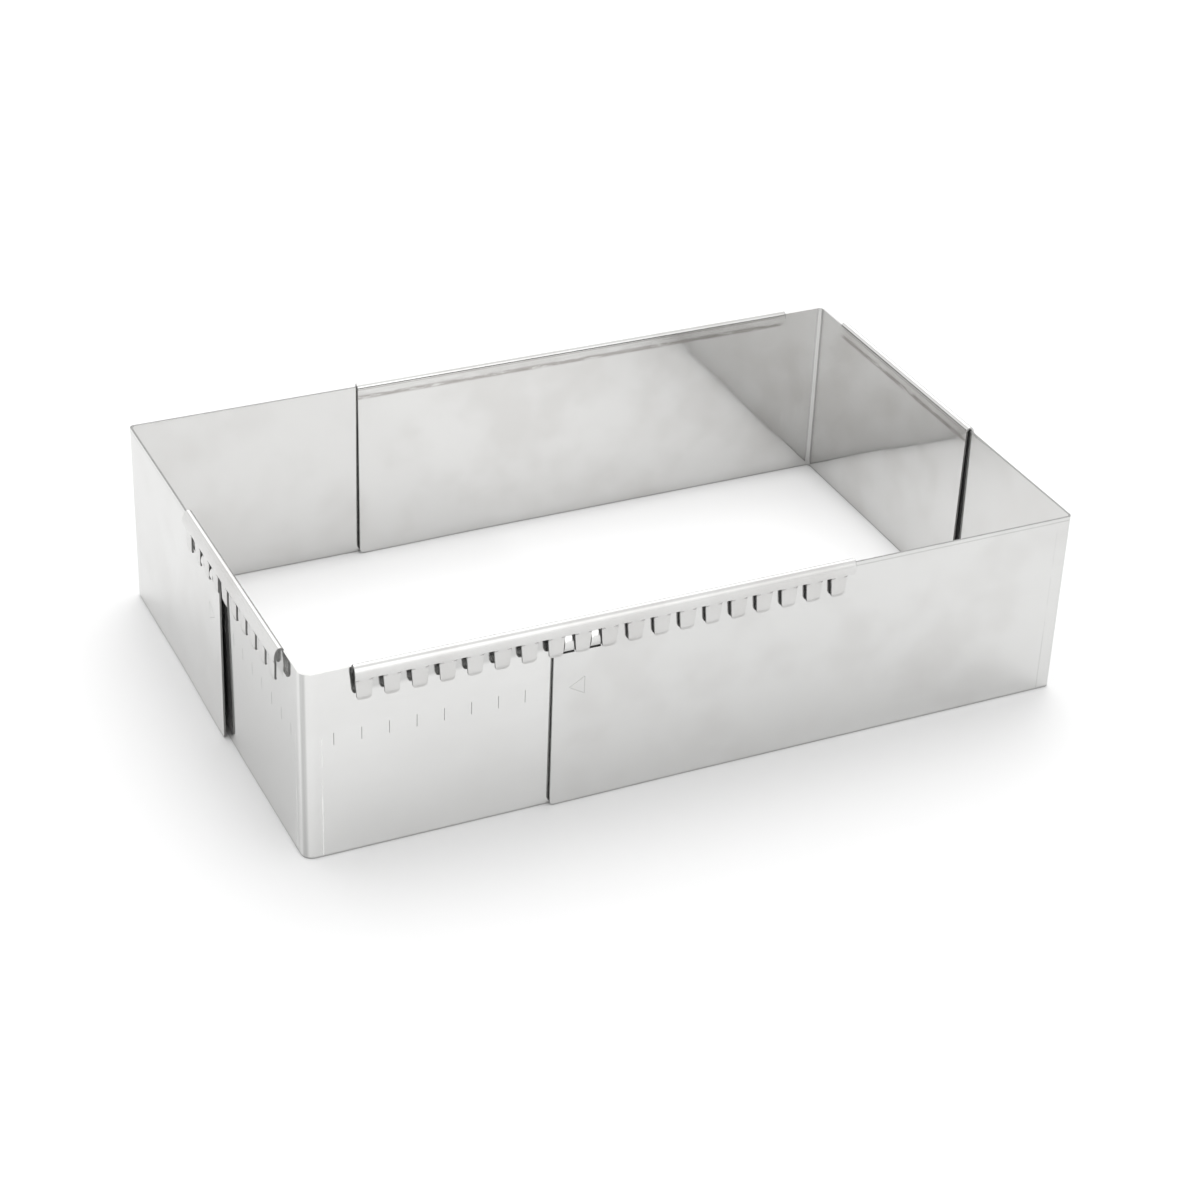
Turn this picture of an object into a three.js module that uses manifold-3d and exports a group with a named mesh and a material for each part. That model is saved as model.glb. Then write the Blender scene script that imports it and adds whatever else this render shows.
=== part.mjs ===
// Adjustable cake frame: four bent stainless corner sheets that hook into each other along their
// top edges and slide to set the length and the width in centimetre steps.
// Millimetres, +Z up. The origin is the middle of the frame, on the table it stands on.

import * as THREE from 'three';
import { mergeVertices } from 'three/addons/utils/BufferGeometryUtils.js';
import Module from 'manifold-3d';

const wasm = await Module();
wasm.setup();

// Sheets
const sheet = 0.8; // thickness of all four sheets
const wallHeight = 74.7; // from the table to the top edge of a plain corner
const cornerRise = 0.3; // how much higher a hemmed corner's own top edge is, beside its bend
const hemmedBend = 3.4; // inside radius of a hemmed corner
const plainBend = 1; // inside radius of a plain corner
const freeCorner = 2; // rounding of the bottom corner at each free end

// Hem of the hemmed corners: a curl that rolls outward, ends in a lip and hangs down in tongues
const hemmedLong = 208; // length of a hemmed corner's long leg
const hemmedShort = 118; // length of a hemmed corner's short leg
const pitch = 10; // from tongue to tongue, the step of every setting
const hemStart = 18; // from the corner to the start of the hem, which runs to the end of the leg
const lipDrop = 5; // from the top of the curl to the gaps between the tongues
const lipCorner = 1; // rounding at the free end of the lip
const joggle = 0.2; // how far the tongues step back from the lip
const joggleDrop = 0.7; // height of that step
const tongueLength = 8.2;
const tongueRoot = 6.4; // width of a tongue at the lip
const tongueTip = 5; // width of a tongue at its lower end
const tongueCorner = 1.2; // rounding of a tongue's lower corners

// Plain corners and the pawls lanced out of them, which stand in the gaps between the tongues
const plainLong = 209; // length of a plain corner's long leg
const plainShort = 109; // length of a plain corner's short leg
const pawlCount = 2; // on each leg
const pawlInset = 5.2; // from the free end to the middle of its first pawl
const pawlDrop = 1.2; // from the top of the gaps to the bend line of a pawl
const pawlRise = 2.4; // height over which a pawl slants out, before it hangs straight down
const pawlLength = 5.8; // from the bend line to the lower end
const pawlLift = 0.6; // how far a pawl's lower end stands out of the sheet

// Clearances
const fitGap = 0.45; // between a hemmed wall and the plain wall that slides along it
const seatGap = 0.25; // between a plain top edge and the inside of the curl
const passGap = 0.25; // between a pawl and the tongues that it passes behind
const pawlSide = 0.45; // between a pawl and the tongues on either side of it
const lanceKerf = 0.2; // between a pawl and the edge of the window it is bent out of

// The size shown, from the outside of a hemmed wall to the outside of the plain wall across from it
const lengthShown = 300;
const widthShown = 190;

// Making of the solids
const curveSegments = 5;
const overrun = 1; // how far a cutting solid reaches past the sheet

// The hem's section, from the sheet that has to slide inside it
const channel = fitGap + sheet + pawlLift + passGap; // hemmed wall to the inside of the tongues
const lipInside = channel + joggle;
const curlInside = lipInside / 2;
const curlOutside = curlInside + sheet;
const seatReach = (curlInside - seatGap) ** 2 - (curlInside - fitGap) ** 2;
const curlCentre = wallHeight - Math.sqrt(Math.max(0, seatReach));
const hemTop = curlCentre + curlOutside;
const gapTop = hemTop - lipDrop;
const tipHeight = gapTop - tongueLength;
const bendLine = gapTop - pawlDrop; // where the pawls bend out

// How far from the hemmed corner a plain leg ends, with its first pawl in the gap nearest to a size
function setting(shown, plainLeg) {
  const firstGap = hemStart + (tongueRoot + pitch) / 2;
  const gaps = Math.round((shown - plainLeg + pawlInset - firstGap) / pitch);
  return firstGap + gaps * pitch - pawlInset;
}

// Half the size between the outsides of the hemmed walls
const wallStep = fitGap + sheet; // outside of a hemmed wall to outside of the plain wall on it
const halfLength = (setting(lengthShown, plainLong) + plainLong - wallStep) / 2;
const halfWidth = (setting(widthShown, plainShort) + plainShort - wallStep) / 2;

// A corner is built with its outside edge on the Z axis. Each leg has its own directions:
// along the leg away from the corner, and out of its outside face.
const up = new THREE.Vector3(0, 0, 1);
const legX = { along: new THREE.Vector3(1, 0, 0), out: new THREE.Vector3(0, -1, 0) };
const legY = { along: new THREE.Vector3(0, 1, 0), out: new THREE.Vector3(-1, 0, 0) };

// A closed geometry as a solid. Mirrored directions turn faces inside out, so theirs are swapped.
function toSolid(geometry, mirrored) {
  geometry.deleteAttribute('normal');
  geometry.deleteAttribute('uv');
  const merged = mergeVertices(geometry);
  const triVerts = new Uint32Array(merged.index.array);
  if (mirrored) triVerts.reverse();
  const vertProperties = new Float32Array(merged.attributes.position.array);
  return new wasm.Manifold(new wasm.Mesh({ numProp: 3, vertProperties, triVerts }));
}

function toGeometry(solid) {
  const mesh = solid.getMesh();
  const geometry = new THREE.BufferGeometry();
  geometry.setAttribute('position', new THREE.BufferAttribute(mesh.vertProperties, 3));
  geometry.setIndex(new THREE.BufferAttribute(mesh.triVerts, 1));
  geometry.computeVertexNormals();
  return geometry;
}

// An outline drawn in two directions and carried along a third, from a start distance on it
function extrude(outline, across, high, through, start, depth) {
  const geometry = new THREE.ExtrudeGeometry(outline, { depth, bevelEnabled: false, curveSegments });
  const directions = new THREE.Matrix4().makeBasis(across, high, through);
  directions.setPosition(through.clone().multiplyScalar(start));
  geometry.applyMatrix4(directions);
  return toSolid(geometry, directions.determinant() < 0);
}

// An outline on a leg's face, carried through the sheet, or from one distance out of it to another
function onFace(outline, leg, from = -sheet - overrun, to = overrun) {
  return extrude(outline, leg.along, up, leg.out, from, to - from);
}

// A section across a leg, carried along it
function alongLeg(section, leg, from, to) {
  return extrude(section, leg.out, up, leg.along, from, to - from);
}

// Two legs and their bend, seen from above
function bentOutline(lengthX, lengthY, inside) {
  const outside = inside + sheet;
  const outline = new THREE.Shape();
  outline.moveTo(lengthX, 0);
  outline.lineTo(lengthX, sheet);
  outline.absarc(outside, outside, inside, 1.5 * Math.PI, Math.PI, true);
  outline.lineTo(sheet, lengthY);
  outline.lineTo(0, lengthY);
  outline.absarc(outside, outside, outside, Math.PI, 1.5 * Math.PI, false);
  return outline;
}

function bentWall(lengthX, lengthY, inside, height) {
  const [x, y] = [legX.along, legY.along];
  return extrude(bentOutline(lengthX, lengthY, inside), x, y, up, 0, height);
}

// What is cut off the bottom corner of a free end to round it
function cornerWaste(end) {
  const outline = new THREE.Shape();
  outline.moveTo(end - freeCorner, -overrun);
  outline.lineTo(end + overrun, -overrun);
  outline.lineTo(end + overrun, freeCorner);
  outline.absarc(end - freeCorner, freeCorner, freeCorner, 0, -0.5 * Math.PI, true);
  return outline;
}

// Section of the hem: up the wall, over the curl, down the lip, and in to the tongues
function hookSection() {
  const section = new THREE.Shape();
  section.moveTo(0, curlCentre - sheet);
  section.absarc(curlInside, curlCentre, curlInside, Math.PI, 0, true);
  section.lineTo(lipInside, gapTop);
  section.lineTo(channel, gapTop - joggleDrop);
  section.lineTo(channel, tipHeight);
  section.lineTo(channel + sheet, tipHeight);
  section.lineTo(channel + sheet, gapTop - joggleDrop);
  section.lineTo(lipInside + sheet, gapTop);
  section.absarc(curlInside, curlCentre, curlOutside, 0, Math.PI, false);
  section.lineTo(-sheet, curlCentre - sheet);
  return section;
}

// Outline of the hem on the leg's face: a lip with as many tongues hanging from it as fit the leg
function combOutline(legEnd) {
  const tongues = Math.floor((legEnd - lipCorner - tongueRoot - hemStart) / pitch) + 1;
  const taper = (tongueRoot - tongueTip) / 2;
  const roundedTaper = taper * (1 - tongueCorner / tongueLength);
  const cornerHeight = tipHeight + tongueCorner;
  const outline = new THREE.Shape();
  outline.moveTo(hemStart, hemTop + overrun);
  for (let tongue = 0; tongue < tongues; tongue += 1) {
    const near = hemStart + tongue * pitch;
    const far = near + tongueRoot;
    outline.lineTo(near, gapTop);
    outline.lineTo(near + roundedTaper, cornerHeight);
    outline.quadraticCurveTo(near + taper, tipHeight, near + taper + tongueCorner, tipHeight);
    outline.lineTo(far - taper - tongueCorner, tipHeight);
    outline.quadraticCurveTo(far - taper, tipHeight, far - roundedTaper, cornerHeight);
    outline.lineTo(far, gapTop);
  }
  outline.absarc(legEnd - lipCorner, gapTop + lipCorner, lipCorner, -0.5 * Math.PI, 0, false);
  outline.lineTo(legEnd, hemTop + overrun);
  return outline;
}

// The strip of wall above the curl's centre, where the hem takes the wall's place
function hemRecess(legEnd) {
  const outline = new THREE.Shape();
  outline.moveTo(hemStart, curlCentre);
  outline.lineTo(legEnd + overrun, curlCentre);
  outline.lineTo(legEnd + overrun, hemTop + overrun);
  outline.lineTo(hemStart, hemTop + overrun);
  return outline;
}

function hemmedCorner() {
  const legs = [[legX, hemmedLong], [legY, hemmedShort]];
  let solid = bentWall(hemmedLong, hemmedShort, hemmedBend, wallHeight + cornerRise);
  for (const [leg, legEnd] of legs) {
    const hook = alongLeg(hookSection(), leg, hemStart, legEnd);
    const comb = onFace(combOutline(legEnd), leg, -sheet - overrun, lipInside + sheet + overrun);
    solid = solid.subtract(onFace(hemRecess(legEnd), leg));
    solid = solid.subtract(onFace(cornerWaste(legEnd), leg));
    solid = solid.add(hook.intersect(comb));
  }
  return solid;
}

// Half the width of the gap between two tongues at a height
function gapHalf(height) {
  const taper = (tongueRoot - tongueTip) / 2;
  return (pitch - tongueRoot) / 2 + taper * (gapTop - height) / tongueLength;
}

// A pawl on the leg's face, with its sides along the tongues beside it, grown by a margin
function pawlOutline(middle, top, margin) {
  const bottom = bendLine - pawlLength - margin;
  const topHalf = gapHalf(top) - pawlSide + margin;
  const bottomHalf = gapHalf(bottom) - pawlSide + margin;
  const outline = new THREE.Shape();
  outline.moveTo(middle - topHalf, top);
  outline.lineTo(middle - bottomHalf, bottom);
  outline.lineTo(middle + bottomHalf, bottom);
  outline.lineTo(middle + topHalf, top);
  return outline;
}

// Section of a pawl: a strip of the sheet that slants outward below its bend line, then hangs straight
function pawlSection(top) {
  const slantEnd = bendLine - pawlRise;
  const tip = bendLine - pawlLength;
  const section = new THREE.Shape();
  section.moveTo(-sheet, top);
  section.lineTo(-sheet, bendLine);
  section.lineTo(pawlLift - sheet, slantEnd);
  section.lineTo(pawlLift - sheet, tip);
  section.lineTo(pawlLift, tip);
  section.lineTo(pawlLift, slantEnd);
  section.lineTo(0, bendLine);
  section.lineTo(0, top);
  return section;
}

function plainCorner() {
  const legs = [[legX, plainShort], [legY, plainLong]];
  const pawlTop = bendLine + sheet;
  const pawlReach = pitch / 2;
  let solid = bentWall(plainShort, plainLong, plainBend, wallHeight);
  for (const [leg, legEnd] of legs) {
    solid = solid.subtract(onFace(cornerWaste(legEnd), leg));
    for (let pawl = 0; pawl < pawlCount; pawl += 1) {
      const middle = legEnd - pawlInset - pawl * pitch;
      const strip = alongLeg(pawlSection(pawlTop), leg, middle - pawlReach, middle + pawlReach);
      const face = onFace(pawlOutline(middle, pawlTop, 0), leg);
      const window = onFace(pawlOutline(middle, bendLine, lanceKerf), leg);
      solid = solid.subtract(window).add(strip.intersect(face));
    }
  }
  return solid;
}

const hemmed = toGeometry(hemmedCorner());
const plain = toGeometry(plainCorner());
const plainX = halfLength + wallStep;
const plainY = halfWidth + wallStep;

const corners = [
  { name: 'hemmed_corner_front_left', geometry: hemmed, x: -halfLength, y: -halfWidth },
  { name: 'plain_corner_front_right', geometry: plain, x: plainX, y: -plainY },
  { name: 'hemmed_corner_back_right', geometry: hemmed, x: halfLength, y: halfWidth },
  { name: 'plain_corner_back_left', geometry: plain, x: -plainX, y: plainY },
];

const cakeFrame = new THREE.Group();
corners.forEach(({ name, geometry, x, y }, quarterTurns) => {
  const steel = new THREE.MeshStandardMaterial({ color: 0xd2d2d0, roughness: 0.2, metalness: 1 });
  const corner = new THREE.Mesh(geometry, steel);
  corner.name = name;
  corner.position.set(x, y, 0);
  corner.rotation.z = quarterTurns * Math.PI / 2;
  cakeFrame.add(corner);
});

export default cakeFrame;
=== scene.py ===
"""An adjustable cake frame of bright stainless sheet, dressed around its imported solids.

Four bent corner sheets slide in one another. Two have a rolled hem with hanging tongues along their tops,
and two are plain, with lanced pawls that catch between the tongues. Sizes are in millimetres until a mesh
is made.
"""

import math

import bpy
from mathutils import Matrix, Vector


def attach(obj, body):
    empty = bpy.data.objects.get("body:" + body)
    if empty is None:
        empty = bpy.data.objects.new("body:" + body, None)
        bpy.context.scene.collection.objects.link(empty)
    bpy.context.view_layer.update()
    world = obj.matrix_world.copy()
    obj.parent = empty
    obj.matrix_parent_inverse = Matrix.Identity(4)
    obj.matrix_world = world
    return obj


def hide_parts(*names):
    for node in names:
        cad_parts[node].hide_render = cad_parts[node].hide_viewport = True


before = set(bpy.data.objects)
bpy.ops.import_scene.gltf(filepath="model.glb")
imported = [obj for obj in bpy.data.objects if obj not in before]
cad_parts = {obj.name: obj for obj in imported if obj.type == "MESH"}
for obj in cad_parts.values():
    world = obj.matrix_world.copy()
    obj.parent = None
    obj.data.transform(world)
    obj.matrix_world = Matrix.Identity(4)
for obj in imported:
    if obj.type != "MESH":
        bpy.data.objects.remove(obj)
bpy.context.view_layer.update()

MM = 0.001

# Sheet and walls
SHEET = 0.8
WALL_HEIGHT = 74.7
CORNER_RISE = 0.3
FREE_CORNER = 2.0
FREE_CORNER_FADE = 20.0
HEMMED_BEND = 3.4
BACK_HEMMED_BEND = 1.9
PLAIN_BEND = 1.0
HEMMED_LONG = 208.0
HEMMED_SHORT = 118.0
PLAIN_LONG = 209.0
PLAIN_SHORT = 109.0
LENGTH_SHOWN = 300.0
WIDTH_SHOWN = 190.0
SHEARED_ROUND = 0.22
SHEARED_STEPS = 2
SHEARED_ANGLE = 50.0

# Hem and tongues
PITCH = 10.0
HEM_START = 18.0
HEM_SLIT = 0.15
HEM_SLIT_DEPTH = 2.4
LIP_DROP = 5.0
LIP_CORNER = 1.0
LIP_CORNER_FADE = 3.0
HEM_ROOT_RISE = 0.1
HEM_CROWN = 0.9
LIP_STRAIGHT = 0.6
JOGGLE = 0.2
JOGGLE_DROP = 0.9
TONGUE_CROWN = 0.1
TIP_CURL = 0.4
TIP_CURL_LENGTH = 1.6
TONGUE_LENGTH = 8.2
TONGUE_ROOT = 6.4
TONGUE_TIP = 5.0
TONGUE_CORNER = 1.2

# Pawls: the lift is the room that the channel leaves for one, and the stand is how far it shows
PAWL_COUNT = 2
PAWL_INSET = 5.2
PAWL_DROP = 1.2
PAWL_LENGTH = 5.8
PAWL_LIFT = 0.6
PAWL_STAND = 1.3
PAWL_BELLY = 0.62
PAWL_SIDE = 0.45
LANCE_KERF = 0.5
LANCE_FOOT = 1.4

# Clearances
FIT_GAP = 0.45
SEAT_GAP = 0.25
PASS_GAP = 0.25

# How far the thin walls are out of true, and how far the free ends spring away
WALL_WAVE = 0.07
WAVE_LENGTHS = (97.0, 61.0)
SHORT_LEG_SPRING = 0.4
HEMMED_LONG_SPRING = 0.8
PLAIN_LONG_SPRING = 0.4
PLAIN_STAND_OFF = 0.36
SPRING_REACH = 60.0

# Worked out from these
WALL_STEP = SHEET + FIT_GAP
CHANNEL = WALL_STEP + PAWL_LIFT + PASS_GAP
LIP_INSIDE = CHANNEL + JOGGLE
CURL_INSIDE = LIP_INSIDE / 2
SEAT_REACH = (CURL_INSIDE - SEAT_GAP) ** 2 - (CURL_INSIDE - FIT_GAP) ** 2
CURL_CENTRE = WALL_HEIGHT - math.sqrt(max(SEAT_REACH, 0))
HEM_FOOT = CURL_CENTRE + HEM_ROOT_RISE
HEM_TOP = CURL_CENTRE + CURL_INSIDE + SHEET
CORNER_TOP = WALL_HEIGHT + CORNER_RISE
GAP_TOP = HEM_TOP - LIP_DROP
TIP_HEIGHT = GAP_TOP - TONGUE_LENGTH
BEND_LINE = GAP_TOP - PAWL_DROP
PAWL_FOOT = BEND_LINE - PAWL_LENGTH
WINDOW_FOOT = PAWL_FOOT - LANCE_FOOT
HALF_LENGTH = (LENGTH_SHOWN - WALL_STEP) / 2
HALF_WIDTH = (WIDTH_SHOWN - WALL_STEP) / 2

# Rows and columns of the sheets' nets, as heights, steps and shares
WALL_ROWS = [0, 0.5, 1.2, 2.4, 4.5, 8, 13, 19, 25, 31, 37, 43, 49, 55, 60, 64]
ROW_BEHIND_TONGUES = TIP_HEIGHT + 5
SLIT_FOOT = CORNER_TOP - HEM_SLIT_DEPTH
HEM_ROOT_ROW = HEM_FOOT + 0.3
HEM_BACK_STEPS = 6
HEM_FRONT_STEPS = 12
ROW_BELOW_PAWLS = 61.5
PAWL_ROW_STEP = 0.6
ROWS_ABOVE_PAWLS = [BEND_LINE + 1, BEND_LINE + 2.5, WALL_HEIGHT - 0.8, WALL_HEIGHT]
TONGUE_SPLIT = (-1, -0.9, -0.74, -0.5, 0, 0.5, 0.74, 0.9, 1)
TONGUE_ROWS = (0.035, 0.07, 0.11, 0.25, 0.45, 0.65, 0.8, 0.86, 0.91, 0.955, 1)
PAWL_SPLIT = (-1, -0.5, 0, 0.5, 1)
BETWEEN_PAWLS = (0.36, 0.5, 0.64)
END_SHARES = (1, 0.75, 0.5, 0.3, 0.14, 0)
END_ROOM = 2.4
BARE_CORNER_STEP = 2.5
PLAIN_STEP = 5.0
HEMMED_HALF_BEND_STEPS = 5
PLAIN_HALF_BEND_STEPS = 4
SAME_COLUMN = 0.01

# Marks on the sheets: the scale, the scribed lines, the painted contact shadow along the foot, the tool's
# edge line, the painted shade spots where the slots end, and the pointers
SCALE_END = HEMMED_LONG - 4
HEMMED_SCRIBE_REACH = 6.9
PLAIN_SCRIBE_REACH = 6.0
PLAIN_SCRIBE_TOP = 70.0
SCRIBE_FAINT_FROM = 30.0
SCRIBE_DEEP_FROM = 22.0
# The painted contact shadow along the wall's foot: where it starts and where it is full
FOOT_SHADOW_TOP = 0.8
FOOT_SHADOW_FULL = 0.2
EDGE_LINE = WALL_HEIGHT - 1.5
EDGE_LINE_HALF = 0.3
SLOT_SHADE_INSET = 0.3
SLOT_SHADE_LONG = 1.7
SLOT_SHADE_THICK = 0.55
POINTER_TIP = 6.0
POINTER_LENGTH = 6.2
POINTER_HALF = 3.7
POINTER_MIDDLE = 48.3
POINTER_LINE = 0.3

# The bends' dull bands and the painted shade on the hemmed sheets' short legs: places from the bend's
# middle, and shares of half the bend's arc
HEMMED_BAND_MIDDLE = -0.5
HEMMED_BAND_HALF = 1.0
BAND_SHARE = 0.8
CREASE_MIDDLE_SHARE = -0.65
CREASE_HALF_SHARE = 0.28
SHORT_LEG_SHADE_FROM_SHARE = 0.8
SHORT_LEG_SHADE_FULL_SHARE = 1.2

# How far the finishes fade where the hem casts painted shade and rubs, where it starts and turns, and
# where the rims take their painted highlight and painted shade
SHADE_AND_RUB_FROM = 64.0
SHADE_AND_RUB_FADE = 2.0
PRESS_FROM = HEM_START - 2
PRESS_FULL = HEM_START + 5
HEM_FADE = 2.0
TONGUE_FADE = 1.2
TOP_RIM_FROM = CORNER_TOP - 0.8
TOP_RIM_FULL = CORNER_TOP - 0.3
START_RIM_FROM = HEM_START + 2
START_RIM_FULL = HEM_START + 1
SLOT_RIM_FADE = 1.0

# Shares and gains inside the shared effects
SOLID_SHARE = 0.3
SCRIBE_SHARE = 0.6
SCRIBE_FAINTNESS = 0.5
SPECK_GAIN = 1.6
STRAIN_OUTER_SHARE = 1.6
STRAIN_INNER_SHARE = 0.4
DIE_LINE_GAIN = 0.8
DIE_LINE_LEAST = 0.4
PATCH_FADE = 0.08
PRESS_GAIN = 1.7

# Steel: how metallic it is, its colours, some of them lit and shaded copies that paint light and shade,
# and its roughness
METALLIC = 0.92
# The hemmed sheets' outer faces get a brighter copy of the steel: painted light, for a brighter
# reflection of the floor
STEEL_WITH_PAINTED_LIGHT = (0.765, 0.765, 0.757, 1.0)
STEEL = (0.70, 0.70, 0.692, 1.0)
# The inner faces get a darker copy of the steel: painted shade for the inside of the frame
STEEL_INSIDE_SHADED = (0.655, 0.653, 0.645, 1.0)
# Dull steel for the grain and the worn edges; also painted shade on the hemmed sheets' short legs and a
# painted highlight on their top rims
STEEL_DULL_SHADE_AND_HIGHLIGHT = (0.60, 0.60, 0.592, 1.0)
HAZED = (0.60, 0.594, 0.584, 1.0)
# A darker copy of the haze for the inner faces: painted shade for the inside of the frame
HAZED_INSIDE_SHADED = (0.57, 0.561, 0.549, 1.0)
STRAINED = (0.47, 0.47, 0.464, 1.0)
# Grey for the scale, scribed and drawn marks; also painted shade in and under the hem, at the slots' ends
# and along the foot
MARK_AND_SHADE_GREY = (0.27, 0.27, 0.265, 1.0)
PRESS_BROWN = (0.28, 0.262, 0.245, 1.0)
SCRIBE_BRIGHT = (0.95, 0.95, 0.94, 1.0)
RIM_BURNISHED = (0.33, 0.33, 0.324, 1.0)
RIM_BROKEN = (0.20, 0.20, 0.196, 1.0)
# Dark haze on the cut edges, also painted shade on the rims under the hem and between the tongues
RIM_HAZE_AND_SHADE = (0.15, 0.15, 0.147, 1.0)
ROLLED_ROUGHNESS = 0.025
RIM_ROUGHNESS = 0.34
LEAST_ROUGHNESS = 0.03
# Each mark of the hemming tool: its drop from the wall's top, half width, brokenness and darkness
PRESS_MARKS = ((1.1, 0.4, 0.2, 0.6), (2.6, 1.4, 0.48, 0.16), (4.4, 1.3, 0.43, 0.8))

# The photograph's view
VIEW_AZIMUTH = -26.07
VIEW_ELEVATION = 31.38
VIEW_ROLL = 2.405
VIEW_DISTANCE = 1090.9
VIEW_ACROSS = 5.22
VIEW_UP = 15.10
LENS = 84.28
SENSOR = 36.0

# Floor and light
FLOOR_HALF = 4000.0
FLOOR_DROP = 0.05
FLOOR_WHITE = (0.82, 0.82, 0.82, 1.0)
FLOOR_ROUGHNESS = 0.55
FLOOR_GLOSS = 0.25
SKY_LEVEL = 0.625
# Each soft glow of the sky: bearing from +X towards +Y, height and half width in degrees, strength
SKY_GLOWS = (
    (0.0, 12.0, 35.0, 0.385),
    (-88.0, 14.0, 33.0, 1.25),
    (125.0, 10.0, 35.0, 0.5),
    (22.5, 40.0, 38.0, 0.50),
    (67.5, 40.0, 38.0, 1.11),
    (157.5, 40.0, 38.0, 0.27),
    (-67.5, 40.0, 38.0, 0.45),
    (90.0, 66.0, 38.0, 0.95),
    (0.0, 90.0, 40.5, 0.93),
)
# Each lamp over the inside: the middle's X, its length and width, and its power
LAMPS = ((0.0, 294.0, 184.0, 0.0465), (73.5, 147.0, 184.0, 0.0045))
LAMP_HEIGHT = 420.0
LAMP_SPREAD = 3.0

# The colour sockets of a Mix node
COLOUR_UNDER, COLOUR_OVER, COLOUR_MIXED = 6, 7, 2

# The faces of a sheet, in the order of its finishes
OUTSIDE, INSIDE, RIM = range(3)


class Blank:
    """The flat blank of a corner sheet, measured along its outside face from the middle of the bend."""

    def __init__(self, leg_x, leg_y, bend, long_spring, stand_off=0.0):
        self.leg_x = leg_x
        self.leg_y = leg_y
        self.long_spring = long_spring
        self.stand_off = stand_off
        self.radius = bend + SHEET
        self.half_arc = self.radius * math.pi / 4

    def along(self, reach):
        """How far along the blank a place lies that is reach from the corner on the leg along X."""
        return reach - self.radius + self.half_arc

    def reach(self, s):
        """How far from the corner a place of the blank lies, on either leg."""
        return abs(s) + self.radius - self.half_arc

    def leg(self, s):
        """The length of the leg that a place of the blank lies on."""
        return self.leg_x if s > 0 else self.leg_y

    def spring(self, s, low):
        """How far the leg at s springs away at its free end. Low is 1 at the foot and 0 high up."""
        if self.leg(s) < max(self.leg_x, self.leg_y):
            return self.stand_off + SHORT_LEG_SPRING * low
        return self.long_spring * low

    def level(self, s, out):
        """The X and Y of a point that lies out beyond the outside face at s."""
        if s > self.half_arc:
            return self.reach(s), -out
        if s < -self.half_arc:
            return -out, self.reach(s)
        turn = (1 - s / self.half_arc) * math.pi / 4
        radius = self.radius + out
        return self.radius - radius * math.sin(turn), self.radius - radius * math.cos(turn)


class Skin:
    """A sheet as a net of cells. Each point has its place on both faces and on the flat blank."""

    def __init__(self, blank):
        self.blank = blank
        self.points = {}
        self.cells = []

    def point(self, key, s, outside, inside, flat):
        """Outside and inside are each a distance out of the wall's outside face, and a height."""
        faces = [Vector((*self.blank.level(s, out), z)) for out, z in (outside, inside)]
        self.points[key] = (*faces, flat)

    def cell(self, *keys):
        """Joins points into a cell, named anticlockwise as the outside face shows them."""
        self.cells.append(keys)

    def mesh(self, name, turns, corner):
        """Both faces and the sheared rims between them, turned by quarter turns and set at the corner."""
        keys = {key: number for number, key in enumerate(self.points)}
        count = len(keys)
        stand = Matrix.Translation((*corner, 0)) @ Matrix.Rotation(turns * math.pi / 2, 4, "Z")
        places = [stand @ p[side] * MM for side in (0, 1) for p in self.points.values()]
        faces, kinds, edges = [], [], {}
        for cell in self.cells:
            loop = [keys[key] for key in cell]
            faces += [loop, [i + count for i in reversed(loop)]]
            kinds += [OUTSIDE, INSIDE]
            edges.update(dict.fromkeys(zip(loop, loop[1:] + loop[:1])))
        for a, b in edges:
            if (b, a) not in edges:
                faces.append([b, a, a + count, b + count])
                kinds.append(RIM)
        mesh = bpy.data.meshes.new(name)
        mesh.from_pydata(places, [], faces)
        flats = [p[2] for p in self.points.values()]
        layer = mesh.uv_layers.new(name="flat_blank")
        for loop in mesh.loops:
            layer.data[loop.index].uv = flats[loop.vertex_index % count]
        mesh.polygons.foreach_set("material_index", kinds)
        mesh.shade_smooth()
        return mesh


def eased(x):
    """0 up to x = 0, 1 from x = 1 and a smooth step between."""
    x = min(max(x, 0), 1)
    return x * x * (3 - 2 * x)


def corner_rise(inset, radius):
    """How far a rounded corner lifts the edge at a place inset from the sheet's end."""
    a = min(max(radius - inset, 0), radius)
    return radius - math.sqrt(radius**2 - a**2)


def wall_swell(blank, s, z, way):
    """How far the wall is out of true: slow waves, and free ends that spring out, or in if way is -1."""
    waves = sum(math.sin(2 * math.pi * s / w + k) for k, w in enumerate(WAVE_LENGTHS))
    body = WALL_WAVE * waves * math.sin(math.pi * min(max(z / GAP_TOP, 0), 1))
    straight = eased((abs(s) - blank.half_arc) / HEM_START)
    near_end = eased(1 - (blank.leg(s) - blank.reach(s)) / SPRING_REACH)
    low = max(1 - (z / GAP_TOP) ** 2, 0)
    return straight * (body + way * blank.spring(s, low) * near_end)


def wall_height(blank, s, z):
    """A wall row's height, lifted where the free bottom corner is rounded."""
    lift = corner_rise(blank.leg(s) - blank.reach(s), FREE_CORNER)
    return z + lift * max(1 - z / FREE_CORNER_FADE, 0)


def spread(low, high, step):
    """Evenly spaced places from low to high, both kept, about a step apart."""
    count = max(round((high - low) / step), 1)
    return [low + (high - low) * k / count for k in range(count + 1)]


def end_places(end):
    """Places towards a free end, closer where its corners are rounded."""
    return [end - FREE_CORNER * share for share in END_SHARES]


def both_legs(blank, x_places, y_places):
    """Columns from the Y leg's free end round the bend to the X leg's, as places along the blank."""
    bend = spread(-blank.half_arc, blank.half_arc, blank.half_arc / HEMMED_HALF_BEND_STEPS)
    y_leg = [-blank.along(r) for r in reversed(y_places)]
    x_leg = [blank.along(r) for r in x_places]
    return y_leg + bend + x_leg


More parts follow.
